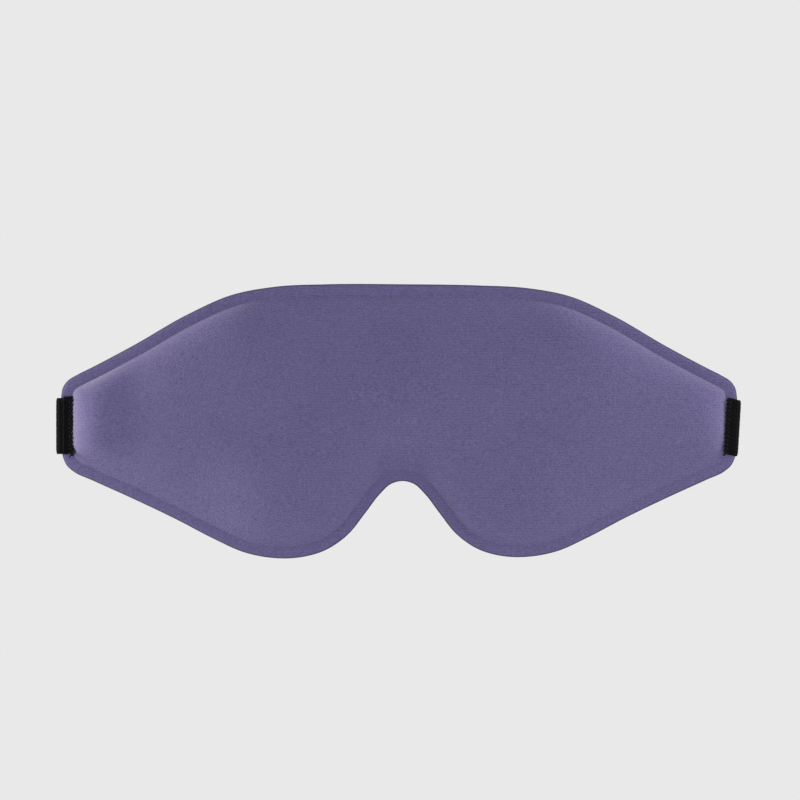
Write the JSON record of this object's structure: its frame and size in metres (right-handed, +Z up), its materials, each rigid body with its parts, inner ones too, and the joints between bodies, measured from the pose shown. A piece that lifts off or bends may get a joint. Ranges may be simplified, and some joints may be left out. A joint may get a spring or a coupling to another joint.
{
  "type": "sleep eye mask",
  "caption": "Contoured padded sleep mask with a nose notch, padded eye hollows on the back and an adjustable elastic head strap.",
  "frame": {"origin": "on the centre plane, level with the middle of the strap, on the lining's outer face where it meets the bridge of the nose", "axes": "+X along the mask's width to the right as seen from its front, +Y out of the back towards the wearer's head, so the front faces -Y, +Z up as worn"},
  "size_m": [0.2474, 0.0325, 0.0972],
  "materials": {
    "cover_knit": "fine brushed knit, muted violet, soft fuzz sheen",
    "lining_knit": "fine matte knit, slightly darker violet",
    "foam": "soft open-cell foam, pale",
    "elastic": "woven black elastic webbing, matte",
    "plastic": "black moulded plastic, satin",
    "thread": "black polyester sewing thread"
  },
  "bodies": {
    "mask": {"front_cover": "cover_knit", "foam_core": "foam", "back_lining": "lining_knit", "eye_pad_cover_right": "lining_knit", "eye_pad_cover_left": "lining_knit", "eye_pad_foam_right": "foam", "eye_pad_foam_left": "foam", "nose_wing_cover_right": "lining_knit", "nose_wing_cover_left": "lining_knit", "nose_wing_foam_right": "foam", "nose_wing_foam_left": "foam", "tab_stitching_right": "thread", "tab_stitching_left": "thread"},
    "strap_back": {"strap_right_middle": "elastic", "ring": "plastic", "strap_left": "elastic", "strap_right_run": "elastic", "ring_stitching": "thread"},
    "slider": {"slider": "plastic", "strap_right_return": "elastic", "slider_stitching": "thread"}
  },
  "joints": [
    {"name": "strap_stretch", "type": "slide", "parent": "mask", "child": "strap_back", "axis": [0, 1, 0], "range_m": [0, 0.14], "stiffness_N_per_m": 20, "deforming": ["strap_left", "strap_right_run"]},
    {"name": "slider_adjust", "type": "slide", "parent": "strap_back", "child": "slider", "axis": [-1, 0, 0], "range_m": [0, 0.04], "deforming": ["strap_right_return"]}
  ]
}
